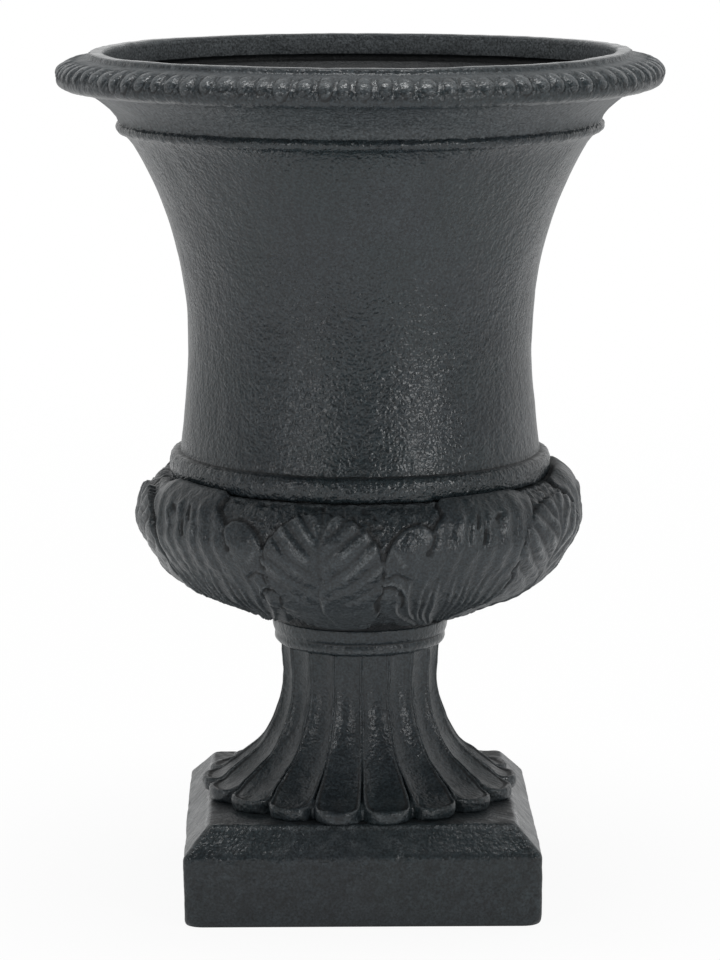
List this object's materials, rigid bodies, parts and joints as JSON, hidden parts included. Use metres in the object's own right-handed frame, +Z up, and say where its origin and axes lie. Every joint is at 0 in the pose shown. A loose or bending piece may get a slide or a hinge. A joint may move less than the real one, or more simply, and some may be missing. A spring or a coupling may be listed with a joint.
{
  "type": "planter",
  "caption": "Classical urn planter: flared body with ribbed rim on a leaf-clad bowl, fluted stem and hollow square plinth, clamped by a central rod, with plugged drains in the bowl floor.",
  "frame": {"origin": "middle of the plinth's underside, on the ground", "axes": "+Z up along the urn's axis, -Y towards the front, +X to the right seen from the front; the plinth's sides lie along X and Y"},
  "size_m": [0.52, 0.52, 0.7275],
  "materials": {
    "cast_stone": "dark slate wash with a satin sealer over a hand-finished casting",
    "bedding": "matt black sealant",
    "rod_steel": "dull zinc-plated steel",
    "seal_rubber": "matt black rubber",
    "bush_plastic": "matt grey moulding",
    "plug_rubber": "matt black moulded rubber"
  },
  "bodies": {
    "urn": {"flared_body": "cast_stone", "leaf_bowl": "cast_stone", "fluted_stem": "cast_stone", "plinth": "cast_stone", "bed_ring_upper": "bedding", "bed_ring_neck": "bedding", "bed_ring_base": "bedding", "locating_dowels": "rod_steel", "tie_rod": "rod_steel", "rod_top_nut": "rod_steel", "rod_plate_washer": "rod_steel", "rod_seal": "seal_rubber", "bridge_bar": "rod_steel", "rod_bottom_nut": "rod_steel", "rod_lock_nut": "rod_steel", "drain_bush_1": "bush_plastic", "drain_bush_2": "bush_plastic", "drain_bush_3": "bush_plastic"},
    "plug_1": {"drain_plug_1": "plug_rubber"},
    "plug_2": {"drain_plug_2": "plug_rubber"},
    "plug_3": {"drain_plug_3": "plug_rubber"}
  },
  "joints": [
    {"name": "lift_plug_1", "type": "slide", "parent": "urn", "child": "plug_1", "axis": [0, 0, 1], "range_m": [0, 0.06]},
    {"name": "lift_plug_2", "type": "slide", "parent": "urn", "child": "plug_2", "axis": [0, 0, 1], "range_m": [0, 0.06]},
    {"name": "lift_plug_3", "type": "slide", "parent": "urn", "child": "plug_3", "axis": [0, 0, 1], "range_m": [0, 0.06]}
  ]
}
